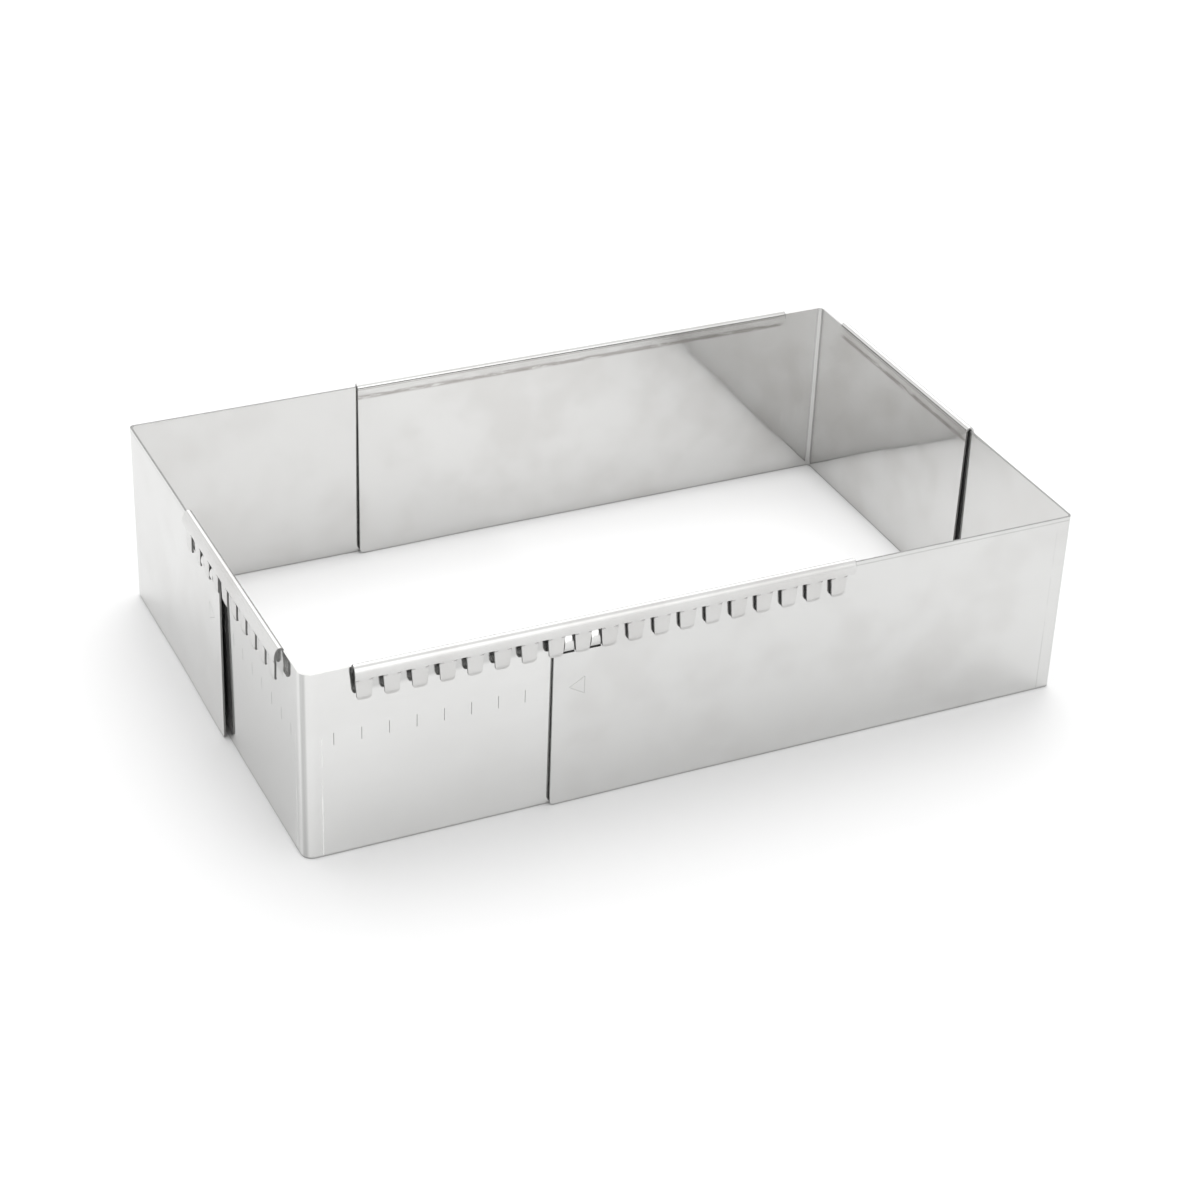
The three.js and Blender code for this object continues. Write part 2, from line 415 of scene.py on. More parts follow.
def tongue_middles(leg):
    """How far from the corner each tongue's middle hangs on a leg."""
    room = leg - LIP_CORNER - TONGUE_ROOT - HEM_START
    return [HEM_START + TONGUE_ROOT / 2 + PITCH * k for k in range(int(room / PITCH) + 1)]


def hemmed_places(leg, radius):
    """Columns of a hemmed leg: the bare corner, the slit, the tongues and the gaps between them."""
    slit = HEM_START - HEM_SLIT
    places = spread(radius, slit, BARE_CORNER_STEP)[1:]
    for middle in tongue_middles(leg):
        places += [middle + part * TONGUE_ROOT / 2 for part in TONGUE_SPLIT]
        places.append(middle + PITCH / 2)
    return [p for p in places if p < leg - END_ROOM] + end_places(leg)


def hem_point(side, share):
    """A point of the hem in section: its place on the hidden and on the shown face, out and up.

    The shown face is two quarter ovals, behind the crown if side is -1 and in front of it if side is 1.
    """
    wide = HEM_CROWN + SHEET if side < 0 else LIP_INSIDE + SHEET - HEM_CROWN
    foot = HEM_FOOT if side < 0 else GAP_TOP + LIP_STRAIGHT
    tall = HEM_TOP - foot
    angle = share * math.pi / 2
    shown = Vector((HEM_CROWN + side * wide * math.cos(angle), foot + tall * math.sin(angle)))
    facing = Vector((side * math.cos(angle) / wide, math.sin(angle) / tall)).normalized()
    return shown - facing * SHEET, shown


def hem_share(z):
    """Where the quarter oval behind the crown passes a height."""
    return math.asin(min(max((z - HEM_FOOT) / (HEM_TOP - HEM_FOOT), 0), 1)) / (math.pi / 2)


def hem_profile():
    """The hem in section, from the wall's top over the crown and down the lip, with each row's run."""
    root = hem_share(CORNER_TOP)
    turns = [(-1, share) for share in spread(root, 1, (1 - root) / HEM_BACK_STEPS)[1:]]
    turns += [(1, 1 - k / HEM_FRONT_STEPS) for k in range(1, HEM_FRONT_STEPS + 1)]
    rows = []
    run, last = CORNER_TOP, hem_point(-1, root)[1]
    for turn in turns:
        hidden, shown = hem_point(*turn)
        run += (shown - last).length
        last = shown
        rows.append((hidden, shown, run))
    lip_foot = [Vector((out, GAP_TOP)) for out in (LIP_INSIDE, LIP_INSIDE + SHEET)]
    rows.append((*lip_foot, run + LIP_STRAIGHT))
    return rows


HEM_ROWS = hem_profile()
LIP_FOOT_RUN = HEM_ROWS[-1][2]


def hemmed_skin(blank):
    """A corner sheet with its hem: walls, bare corner tops, curls, lips and tongues."""
    skin = Skin(blank)
    columns = both_legs(
        blank,
        hemmed_places(blank.leg_x, blank.radius),
        hemmed_places(blank.leg_y, blank.radius),
    )
    rows = WALL_ROWS + [ROW_BEHIND_TONGUES, SLIT_FOOT, HEM_FOOT, HEM_ROOT_ROW, CORNER_TOP]
    top = len(rows) - 1
    in_hem = [blank.reach(s) > HEM_START - HEM_SLIT / 2 for s in columns]
    for i, s in enumerate(columns):
        for j, row in enumerate(rows):
            z = wall_height(blank, s, row)
            out = wall_swell(blank, s, z, -1)
            faces = (out, z), (out - SHEET, z)
            if in_hem[i] and row > HEM_FOOT:
                faces = hem_point(-1, hem_share(row))
            skin.point((i, j), s, *faces, (s, z))
        if in_hem[i]:
            add_hem_points(skin, i, s, top)
    for i in range(len(columns) - 1):
        in_slit = in_hem[i] != in_hem[i + 1]
        for j in range(rows.index(SLIT_FOOT) if in_slit else top):
            skin.cell((i, j), (i + 1, j), (i + 1, j + 1), (i, j + 1))
        if in_hem[i] and in_hem[i + 1]:
            for j in range(top, top + len(HEM_ROWS)):
                skin.cell((i, j), (i + 1, j), (i + 1, j + 1), (i, j + 1))
    add_tongues(skin, columns, in_hem, top + len(HEM_ROWS))
    return skin


def add_hem_points(skin, i, s, wall_top):
    """One column's points up over the crown and down the lip, whose end corner is rounded."""
    inset = skin.blank.leg(s) - skin.blank.reach(s)
    lift = corner_rise(inset, LIP_CORNER)
    for j, (hidden, shown, run) in enumerate(HEM_ROWS, wall_top + 1):
        faces = []
        for out, z in (hidden, shown):
            low = min(max(1 - (z - GAP_TOP) / LIP_CORNER_FADE, 0), 1)
            faces.append((out, z + lift * low))
        skin.point((i, j), s, *faces, (s, run))


def add_tongues(skin, columns, in_hem, lip_row):
    """Tapered, slightly crowned tongues with round tips, set back from the lip by the joggle."""
    blank = skin.blank
    for side, leg in ((1, blank.leg_x), (-1, blank.leg_y)):
        for middle in tongue_middles(leg):
            centre = side * blank.along(middle)
            members = [
                i
                for i, s in enumerate(columns)
                if in_hem[i] and abs(s - centre) < TONGUE_ROOT / 2 + SAME_COLUMN
            ]
            for i in members:
                add_tongue_points(skin, i, lip_row, centre, (columns[i] - centre) / (TONGUE_ROOT / 2))
            for a, b in zip(members, members[1:]):
                for j in range(lip_row, lip_row + len(TONGUE_ROWS)):
                    skin.cell((a, j), (b, j), (b, j + 1), (a, j + 1))


def add_tongue_points(skin, i, lip_row, centre, part):
    """One column of a tongue, a part of its half width from its middle."""
    edge = (1 - abs(part)) * TONGUE_TIP / 2
    length = TONGUE_LENGTH - corner_rise(edge, TONGUE_CORNER)
    for j, share in enumerate(TONGUE_ROWS, lip_row + 1):
        drop = share * length
        taper = (TONGUE_ROOT - TONGUE_TIP) / 2 * drop / TONGUE_LENGTH
        s = centre + part * (TONGUE_ROOT / 2 - taper)
        step = eased(drop / JOGGLE_DROP)
        out = LIP_INSIDE - step * (JOGGLE - TONGUE_CROWN * (1 - part**2))
        out -= TIP_CURL * eased(1 - (TONGUE_LENGTH - drop) / TIP_CURL_LENGTH)
        z = GAP_TOP - drop
        skin.point((i, j), s, (out, z), (out + SHEET, z), (s, LIP_FOOT_RUN + drop))


def pawl_half(z):
    """Half a pawl's width at a height, which follows the gap between the tongues."""
    z = min(max(z, WINDOW_FOOT), BEND_LINE)
    gap = (PITCH - TONGUE_ROOT) / 2
    gap += (TONGUE_ROOT - TONGUE_TIP) / 2 * (GAP_TOP - z) / TONGUE_LENGTH
    return gap - PAWL_SIDE


def pawl_stand(z):
    """How far a pawl stands out of its wall at a height: a belly that turns back in at the foot."""
    down = (BEND_LINE - z) / PAWL_LENGTH
    return PAWL_STAND * (1 - (1 - down / PAWL_BELLY) ** 2)


def pawl_middles(leg):
    """How far from the corner each pawl's middle lies on a leg, the outermost last."""
    return [leg - PAWL_INSET - PITCH * k for k in reversed(range(PAWL_COUNT))]


def plain_columns(blank, side, leg):
    """Columns of a plain leg from the bend out: side, middle, part of a pawl's half width and kerf."""
    middles = pawl_middles(leg)
    first = middles[0] - PITCH / 2
    columns = [(r, 0, 0) for r in spread(blank.radius, first, PLAIN_STEP)[1:]]
    for middle in middles:
        columns.append((middle, -1, -LANCE_KERF))
        columns += [(middle, part, 0) for part in PAWL_SPLIT]
        columns.append((middle, 1, LANCE_KERF))
        if middle != middles[-1]:
            columns += [(middle + PITCH * k, 0, 0) for k in BETWEEN_PAWLS]
    columns += [(r, 0, 0) for r in end_places(leg)]
    return [(side, *column) for column in columns]


def plain_skin(blank):
    """A plain corner sheet whose pawls are lanced out of the wall near its free ends."""
    skin = Skin(blank)
    bend = spread(-blank.half_arc, blank.half_arc, blank.half_arc / PLAIN_HALF_BEND_STEPS)
    columns = [*reversed(plain_columns(blank, -1, blank.leg_y))]
    columns += [(0, s, 0, 0) for s in bend]
    columns += plain_columns(blank, 1, blank.leg_x)
    pawl_rows = spread(PAWL_FOOT, BEND_LINE, PAWL_ROW_STEP)
    rows = WALL_ROWS[:-1] + [ROW_BELOW_PAWLS, WINDOW_FOOT, *pawl_rows, *ROWS_ABOVE_PAWLS]
    foot, top = rows.index(WINDOW_FOOT), rows.index(BEND_LINE)
    on_pawl = [down_a_pawl(blank, side, middle, kerf) for side, middle, part, kerf in columns]
    for i, (side, middle, part, kerf) in enumerate(columns):
        for j, row in enumerate(rows):
            s = middle
            if side:
                s = side * blank.along(middle + part * pawl_half(row) + kerf)
            z = wall_height(blank, s, row)
            out = wall_swell(blank, s, z, 1)
            if on_pawl[i] and foot < j < top:
                out += pawl_stand(z)
            skin.point((i, j), s, (out, z), (out - SHEET, z), (s, z))
    for i in range(len(columns) - 1):
        lanced = on_pawl[i] != on_pawl[i + 1]
        pawl = on_pawl[i] and on_pawl[i + 1]
        for j in range(len(rows) - 1):
            in_kerf = lanced and foot <= j < top or pawl and j == foot
            if not in_kerf:
                skin.cell((i, j), (i + 1, j), (i + 1, j + 1), (i, j + 1))
    return skin


def down_a_pawl(blank, side, middle, kerf):
    """Whether a column runs down a pawl, and not down the kerf beside one."""
    leg = blank.leg_x if side > 0 else blank.leg_y
    return bool(side) and kerf == 0 and middle in pawl_middles(leg)


def feed(tree, socket, value):
    """Gives an input its value, or joins it to the output that feeds it."""
    if isinstance(value, bpy.types.NodeSocket):
        tree.links.new(value, socket)
    else:
        socket.default_value = value


def lay(tree, kind, sockets=None, **settings):
    """Adds a node. Sockets gives inputs by name or number, each a value or the output that feeds it."""
    node = tree.nodes.new(kind)
    for name, value in settings.items():
        setattr(node, name, value)
    for name, value in (sockets or {}).items():
        feed(tree, node.inputs[name], value)
    return node


def calc(tree, operation, *values):
    """The output of a Math node on the values, each a number or an output."""
    return lay(tree, "ShaderNodeMath", dict(enumerate(values)), operation=operation).outputs[0]


def product(tree, *values):
    """All the values multiplied together."""
    result = values[0]
    for value in values[1:]:
        result = calc(tree, "MULTIPLY", result, value)
    return result


def distance(tree, value, place):
    """How far a value is from a place, whichever side it lies on."""
    return calc(tree, "ABSOLUTE", calc(tree, "SUBTRACT", value, place))


def across_blank(tree, blank):
    """A place on the blank as two numbers: along it from the bend's middle, and up it."""
    split = lay(tree, "ShaderNodeSeparateXYZ", {0: blank}).outputs
    return split["X"], split["Y"]


def blend(tree, factor, first, second):
    """A number between two others."""
    sockets = {"Factor": factor, "A": first, "B": second}
    return lay(tree, "ShaderNodeMix", sockets).outputs["Result"]


def fade(tree, value, start, end):
    """0 where the value is at start, 1 where it is at end, and smooth between."""
    sockets = {"Value": value, "From Min": start, "From Max": end}
    node = lay(tree, "ShaderNodeMapRange", sockets, interpolation_type="SMOOTHSTEP")
    return node.outputs["Result"]


def new_group(name, inputs, outputs):
    """An empty shader group, with the inputs' starting values and the outputs' names."""
    group = bpy.data.node_groups.new(name, "ShaderNodeTree")
    for label, value in inputs.items():
        kind = "NodeSocketVector" if isinstance(value, tuple) else "NodeSocketFloat"
        socket = group.interface.new_socket(label, in_out="INPUT", socket_type=kind)
        socket.default_value = value
    for label in outputs:
        group.interface.new_socket(label, in_out="OUTPUT", socket_type="NodeSocketFloat")
    source = group.nodes.new("NodeGroupInput").outputs
    result = group.nodes.new("NodeGroupOutput").inputs
    return group, source, result


def noise(tree, place, detail, roughness):
    """Cloudy noise between 0 and 1, one blot to each unit of the place."""
    sockets = {"Vector": place, "Scale": 1.0, "Detail": detail, "Roughness": roughness}
    return lay(tree, "ShaderNodeTexNoise", sockets).outputs["Fac"]


def stretched(tree, place, along, across):
    """A place on the blank scaled apart along the rolling direction and across it."""
    scale = lay(tree, "ShaderNodeCombineXYZ", {"X": along, "Y": across, "Z": 1.0}).outputs[0]
    node = lay(tree, "ShaderNodeVectorMath", {0: place, 1: scale}, operation="MULTIPLY")
    return node.outputs[0]


def blank_noise(tree, blank, along, across, detail, roughness):
    """Noise over the blank, scaled apart along the rolling direction and across it."""
    return noise(tree, stretched(tree, blank, along, across), detail, roughness)


def rolled_grain_group():
    """Long fine streaks that the rolls leave in the sheet."""
    inputs = {"Blank": (0.0, 0.0, 0.0), "Along": 0.02, "Across": 1.8}
    group, source, result = new_group("rolled_grain", inputs, ["Streak", "Fine"])
    place = stretched(group, source["Blank"], source["Along"], source["Across"])
    group.links.new(noise(group, place, detail=3.0, roughness=0.6), result["Streak"])
    finer = stretched(group, place, along=3.0, across=4.0)
    group.links.new(noise(group, finer, detail=2.0, roughness=0.5), result["Fine"])
    return group


def handling_haze_group():
    """Soft cloudy smears where the sheet was wiped and held."""
    inputs = {"Place": (0.0, 0.0, 0.0), "Per metre": 48.0, "Clear": 0.40, "Dull": 0.70}
    group, source, result = new_group("handling_haze", inputs, ["Haze"])
    sockets = {0: source["Place"], "Scale": source["Per metre"]}
    place = lay(group, "ShaderNodeVectorMath", sockets, operation="SCALE").outputs[0]
    cloud = noise(group, place, detail=4.0, roughness=0.5)
    group.links.new(fade(group, cloud, source["Clear"], source["Dull"]), result["Haze"])
    return group


def centimetre_marks_group():
    """A scale of short lines across the sheet, one to each centimetre."""
    inputs = {
        "Blank": (0.0, 0.0, 0.0), "To corner": 0.0, "First": 11.2, "Last": 200.0,
        "Middle": 47.8, "Length": 5.0, "Width": 0.42,
    }
    group, source, result = new_group("centimetre_marks", inputs, ["Mark"])
    along, height = across_blank(group, source["Blank"])
    reach = calc(group, "ADD", calc(group, "ABSOLUTE", along), source["To corner"])
    past_first = calc(group, "SUBTRACT", reach, source["First"])
    off_line = calc(group, "PINGPONG", past_first, PITCH / 2)
    half = product(group, source["Width"], 0.5)
    line = fade(group, off_line, half, product(group, half, SOLID_SHARE))
    rise = distance(group, height, source["Middle"])
    tall = calc(group, "LESS_THAN", rise, product(group, source["Length"], 0.5))
    started = calc(group, "GREATER_THAN", past_first, -PITCH / 4)
    ended = calc(group, "LESS_THAN", reach, source["Last"])
    group.links.new(product(group, line, tall, started, ended), result["Mark"])
    return group


def scribed_line_group():
    """A hairline up the sheet beside the bend, from one height to another, deepest near its foot."""
    inputs = {
        "Blank": (0.0, 0.0, 0.0), "To corner": 0.0, "Reach": 6.5, "Low": 0.0, "High": 49.0,
        "Width": 0.42,
    }
    group, source, result = new_group("scribed_line", inputs, ["Line"])
    along, height = across_blank(group, source["Blank"])
    reach = calc(group, "ADD", calc(group, "ABSOLUTE", along), source["To corner"])
    off_line = distance(group, reach, source["Reach"])
    line = fade(group, off_line, product(group, source["Width"], SCRIBE_SHARE), 0.0)
    above = calc(group, "GREATER_THAN", height, source["Low"])
    below = calc(group, "LESS_THAN", height, source["High"])
    breaks = blank_noise(group, source["Blank"], along=0.0, across=0.16, detail=4.0, roughness=0.7)
    faint = product(group, fade(group, breaks, start=0.40, end=0.56), SCRIBE_FAINTNESS)
    low = fade(group, height, SCRIBE_FAINT_FROM, SCRIBE_DEEP_FROM)
    deep = product(group, low, fade(group, breaks, start=0.30, end=0.42))
    kept = calc(group, "MAXIMUM", faint, deep)
    group.links.new(product(group, line, above, below, kept), result["Line"])
    return group


def free_edge_wear_group():
    """Burnished specks along an edge of the sheet, given its height on the blank."""
    inputs = {"Blank": (0.0, 0.0, 0.0), "Edge": 0.0, "Depth": 1.6}
    group, source, result = new_group("free_edge_wear", inputs, ["Wear"])
    height = across_blank(group, source["Blank"])[1]
    specks = blank_noise(group, source["Blank"], along=0.5, across=0.9, detail=4.0, roughness=0.6)
    depth = product(group, source["Depth"], specks, SPECK_GAIN)
    off_edge = distance(group, height, source["Edge"])
    group.links.new(fade(group, off_edge, depth, 0.0), result["Wear"])
    return group


def bend_strain_group():
    """Dulled metal in the bend, with the fine upright lines that the die leaves."""
    inputs = {"Blank": (0.0, 0.0, 0.0), "Middle": 0.0, "Half width": 2.6}
    group, source, result = new_group("bend_strain", inputs, ["Strain"])
    along = across_blank(group, source["Blank"])[0]
    outer = product(group, source["Half width"], STRAIN_OUTER_SHARE)
    inner = product(group, source["Half width"], STRAIN_INNER_SHARE)
    zone = fade(group, distance(group, along, source["Middle"]), outer, inner)
    lines = blank_noise(group, source["Blank"], along=1.6, across=0.02, detail=3.0, roughness=0.6)
    share = calc(group, "ADD", product(group, lines, DIE_LINE_GAIN), DIE_LINE_LEAST)
    group.links.new(product(group, zone, share), result["Strain"])
    return group


def press_band_group():
    """A long straight streak that the hemming tool leaves along the wall, stronger in some places."""
    inputs = {"Blank": (0.0, 0.0, 0.0), "Height": 70.0, "Width": 0.8, "Broken": 0.45}
    group, source, result = new_group("press_band", inputs, ["Band"])
    height = across_blank(group, source["Blank"])[1]
    off_line = distance(group, height, source["Height"])
    line = fade(group, off_line, source["Width"], product(group, source["Width"], SOLID_SHARE))
    patches = blank_noise(group, source["Blank"], along=0.09, across=0.5, detail=5.0, roughness=0.7)
    weakest = calc(group, "SUBTRACT", source["Broken"], PATCH_FADE)
    strongest = calc(group, "ADD", source["Broken"], PATCH_FADE)
    strong = fade(group, patches, weakest, strongest)
    streaks = blank_noise(group, source["Blank"], along=0.05, across=5.0, detail=3.0, roughness=0.6)
    group.links.new(product(group, line, strong, streaks, PRESS_GAIN), result["Band"])
    return group


GROUPS = {
    "grain": rolled_grain_group(),
    "haze": handling_haze_group(),
    "marks": centimetre_marks_group(),
    "scribe": scribed_line_group(),
    "wear": free_edge_wear_group(),
    "strain": bend_strain_group(),
    "press": press_band_group(),
}


class Finish:
    """A steel finish in the making: its base colour, its roughness and its surface height."""

    def __init__(self, name, colour, roughness):
        self.material = bpy.data.materials.new(name)
        self.material.use_nodes = True
        self.tree = self.material.node_tree
        self.shader = self.tree.nodes["Principled BSDF"]
        self.shader.inputs["Metallic"].default_value = METALLIC
        self.blank = lay(self.tree, "ShaderNodeUVMap", uv_map="flat_blank").outputs["UV"]
        self.place = lay(self.tree, "ShaderNodeTexCoord").outputs["Object"]
        self.along, self.up = across_blank(self.tree, self.blank)
        self.colour = colour
        self.rough = roughness
        self.height = None

    def effect(self, name, output, **sockets):
        """An output of a shared effect, given the inputs that differ from their starting values."""
        node = lay(self.tree, "ShaderNodeGroup", node_tree=GROUPS[name])
        for label, value in {"Blank": self.blank, "Place": self.place, **sockets}.items():
            label = label.replace("_", " ")
            if label in node.inputs:
                feed(self.tree, node.inputs[label], value)
        return node.outputs[output]

    def fade(self, value, start, end):
        """0 where the value is at start, 1 where it is at end, and smooth between."""
        return fade(self.tree, value, start, end)

    def reach(self, blank):
        """How far from the corner a place lies, on either leg."""
        return calc(self.tree, "ADD", calc(self.tree, "ABSOLUTE", self.along), to_corner(blank))

    def tint(self, mask, colour, amount):
        """Lays a colour over what is there, as far as the mask and the amount say."""
        factor = product(self.tree, mask, amount)
        sockets = {"Factor": factor, COLOUR_UNDER: self.colour, COLOUR_OVER: colour}
        node = lay(self.tree, "ShaderNodeMix", sockets, data_type="RGBA")
        self.colour = node.outputs[COLOUR_MIXED]

    def roughen(self, mask, by):
        """Adds to the roughness where the mask says."""
        self.rough = calc(self.tree, "ADD", self.rough, product(self.tree, mask, by))

    def lift(self, mask, by):
        """Raises the surface where the mask says, in millimetres."""
        step = product(self.tree, mask, by)
        self.height = step if self.height is None else calc(self.tree, "ADD", self.height, step)

    def done(self):
        """Joins the colour, the roughness and the height to the shader."""
        feed(self.tree, self.shader.inputs["Base Color"], self.colour)
        rough = calc(self.tree, "MAXIMUM", self.rough, LEAST_ROUGHNESS)
        feed(self.tree, self.shader.inputs["Roughness"], rough)
        sockets = {"Height": self.height, "Strength": 1.0, "Distance": MM}
        bump = lay(self.tree, "ShaderNodeBump", sockets)
        feed(self.tree, self.shader.inputs["Normal"], bump.outputs["Normal"])
        return self.material


def to_corner(blank):
    """What is added to a place along the blank to give its reach from the corner."""
    return blank.radius - blank.half_arc


def rolled_sheet(name, steel, haze, hazed, dulled, bend_middle, bend_half):
    """The bright rolled face that every face starts from, hazed by handling and dulled in the bend."""
    finish = Finish(name, steel, ROLLED_ROUGHNESS)
    streak = finish.effect("grain", "Streak")
    fine = finish.effect("grain", "Fine", Across=2.6)
    smear = finish.effect("haze", "Haze")
    strain = finish.effect("strain", "Strain", Middle=bend_middle, Half_width=bend_half)
    finish.tint(streak, STEEL_DULL_SHADE_AND_HIGHLIGHT, amount=0.35)
    finish.tint(smear, haze, amount=hazed)
    finish.tint(strain, STRAINED, amount=dulled)
    finish.roughen(streak, by=0.03)
    finish.roughen(fine, by=0.02)
    finish.roughen(smear, by=0.05)
    finish.roughen(strain, by=0.1)
    finish.lift(streak, by=0.0012)
    finish.lift(fine, by=0.0006)
    return finish


def worn_edge(finish, height, depth):
    """Burnishes the face along an edge, given its height on the blank."""
    wear = finish.effect("wear", "Wear", Edge=height, Depth=depth)
    finish.tint(wear, STEEL_DULL_SHADE_AND_HIGHLIGHT, amount=0.6)
    finish.roughen(wear, by=0.12)


def foot_contact_shadow(finish):
    """Painted contact shadow: a dark line along the foot of the wall, where it stands on the floor."""
    finish.tint(finish.fade(finish.up, FOOT_SHADOW_TOP, FOOT_SHADOW_FULL), MARK_AND_SHADE_GREY, amount=0.6)


def shade_and_rub_under_hem(finish, blank):
    """Where the hem and tongues hang over the wall: painted shade under them, and rubbing where the other
    sheet's top slides along this one.
    """
    past_slit = calc(finish.tree, "GREATER_THAN", finish.reach(blank), HEM_START - HEM_SLIT / 2)
    high = finish.fade(finish.up, SHADE_AND_RUB_FROM, SHADE_AND_RUB_FROM + SHADE_AND_RUB_FADE)
    return product(finish.tree, high, past_slit)


def hemmed_outside(name, blank):
    """The walls' outer face, which the hem turns inward: the scale, a scribed line, rubbing and painted
    shade under the hem, painted shade in the hem and on the short leg, and painted light over the rest.
    """
    finish = rolled_sheet(f"{name}_outside", STEEL_WITH_PAINTED_LIGHT, HAZED, hazed=0.12, dulled=1.0,
                          bend_middle=HEMMED_BAND_MIDDLE, bend_half=HEMMED_BAND_HALF)
    # Painted shade: the short leg is darkened, for its reflection of the shadowed floor beside it
    short_leg_shade = finish.fade(finish.along, -SHORT_LEG_SHADE_FROM_SHARE * blank.half_arc,
                            -SHORT_LEG_SHADE_FULL_SHARE * blank.half_arc)
    finish.tint(short_leg_shade, STEEL_DULL_SHADE_AND_HIGHLIGHT, amount=0.75)
    mark = finish.effect("marks", "Mark", To_corner=to_corner(blank), Last=SCALE_END)
    scribe = finish.effect("scribe", "Line", To_corner=to_corner(blank), Reach=HEMMED_SCRIBE_REACH)
    finish.tint(mark, MARK_AND_SHADE_GREY, amount=0.9)
    finish.roughen(mark, by=0.25)
    finish.lift(mark, by=-0.02)
    finish.tint(scribe, SCRIBE_BRIGHT, amount=0.9)
    finish.roughen(scribe, by=0.7)
    # Painted shade under the hem and tongues, together with rubbing from the other sheet
    shade_and_rub = shade_and_rub_under_hem(finish, blank)
    finish.tint(shade_and_rub, MARK_AND_SHADE_GREY, amount=0.35)
    finish.roughen(shade_and_rub, by=0.06)
    # Painted shade on the hem's hidden faces, inside the curl and behind the tongues
    shade_in_the_hem = finish.fade(finish.up, CORNER_TOP, CORNER_TOP + HEM_FADE)
    finish.tint(shade_in_the_hem, MARK_AND_SHADE_GREY, amount=0.8)
    finish.roughen(shade_in_the_hem, by=0.15)
    worn_edge(finish, 0.0, depth=1.6)
    foot_contact_shadow(finish)
    return finish.done()


def slot_corner_shade(finish, blank):
    """Painted shade spots where the slots between the tongues end, at the foot of the lip, where the
    lip's step shades the tongues.
    """
    tree = finish.tree
    slot_middle = HEM_START + (TONGUE_ROOT + PITCH) / 2
    past_slot = calc(tree, "SUBTRACT", finish.reach(blank), slot_middle)
    to_slot = calc(tree, "PINGPONG", past_slot, PITCH / 2)
    beside = calc(tree, "SUBTRACT", to_slot, (PITCH - TONGUE_ROOT) / 2 + SLOT_SHADE_INSET)
    above = calc(tree, "SUBTRACT", finish.up, LIP_FOOT_RUN + SLOT_SHADE_INSET)
    sides = product(tree, beside, SLOT_SHADE_THICK / SLOT_SHADE_LONG), above
    squares = [product(tree, side, side) for side in sides]
    away = calc(tree, "SQRT", calc(tree, "ADD", *squares))
    return fade(tree, away, SLOT_SHADE_THICK, SLOT_SHADE_THICK / 4)


def hemmed_inside(name, blank):
    """The walls' inner face, which the hem turns outward: press marks below it, drawn metal on it."""
    finish = rolled_sheet(f"{name}_inside", STEEL_INSIDE_SHADED, HAZED_INSIDE_SHADED, hazed=0.6, dulled=0.8,
                          bend_middle=0.0, bend_half=BAND_SHARE * blank.half_arc)
    crease = finish.effect("strain", "Strain", Middle=CREASE_MIDDLE_SHARE * blank.half_arc,
                           Half_width=CREASE_HALF_SHARE * blank.half_arc)
    finish.tint(crease, MARK_AND_SHADE_GREY, amount=0.55)
    past_corner = finish.fade(finish.reach(blank), PRESS_FROM, PRESS_FULL)
    for drop, half_width, broken, dark in PRESS_MARKS:
        height = CORNER_TOP - drop
        band = finish.effect("press", "Band", Height=height, Width=half_width, Broken=broken)
        band = product(finish.tree, band, past_corner)
        finish.tint(band, PRESS_BROWN, amount=dark)
        finish.roughen(band, by=0.1)
    drawn = finish.fade(finish.up, CORNER_TOP, CORNER_TOP + HEM_FADE)
    finish.roughen(drawn, by=0.16)
    on_tongue = finish.fade(finish.up, LIP_FOOT_RUN, LIP_FOOT_RUN + TONGUE_FADE)
    finish.tint(on_tongue, HAZED, amount=0.35)
    # Painted shade at the tongues' upper corners, under the step of the lip
    slot_shade = slot_corner_shade(finish, blank)
    finish.tint(slot_shade, MARK_AND_SHADE_GREY, amount=0.45)
    finish.roughen(slot_shade, by=0.2)
    worn_edge(finish, 0.0, depth=1.6)
    foot_contact_shadow(finish)
    return finish.done()


def pointer_outline(finish, blank):
    """A small three-cornered pointer beside each free end, drawn as an outline."""
    tree = finish.tree
    on_x = calc(tree, "GREATER_THAN", finish.along, 0.0)
    end = blend(tree, on_x, blank.leg_y - to_corner(blank), blank.leg_x - to_corner(blank))
    inset = calc(tree, "SUBTRACT", end, calc(tree, "ABSOLUTE", finish.along))
    past_tip = calc(tree, "SUBTRACT", inset, POINTER_TIP)
    slope = POINTER_HALF / POINTER_LENGTH
    half = product(tree, past_tip, slope)
    off = distance(tree, finish.up, POINTER_MIDDLE)
    to_side = product(tree, calc(tree, "SUBTRACT", half, off), 1 / math.hypot(1, slope))
    to_base = calc(tree, "SUBTRACT", POINTER_LENGTH, past_tip)
    depth = calc(tree, "MINIMUM", to_side, to_base)
    return fade(tree, distance(tree, depth, POINTER_LINE / 2), POINTER_LINE / 2, POINTER_LINE / 6)


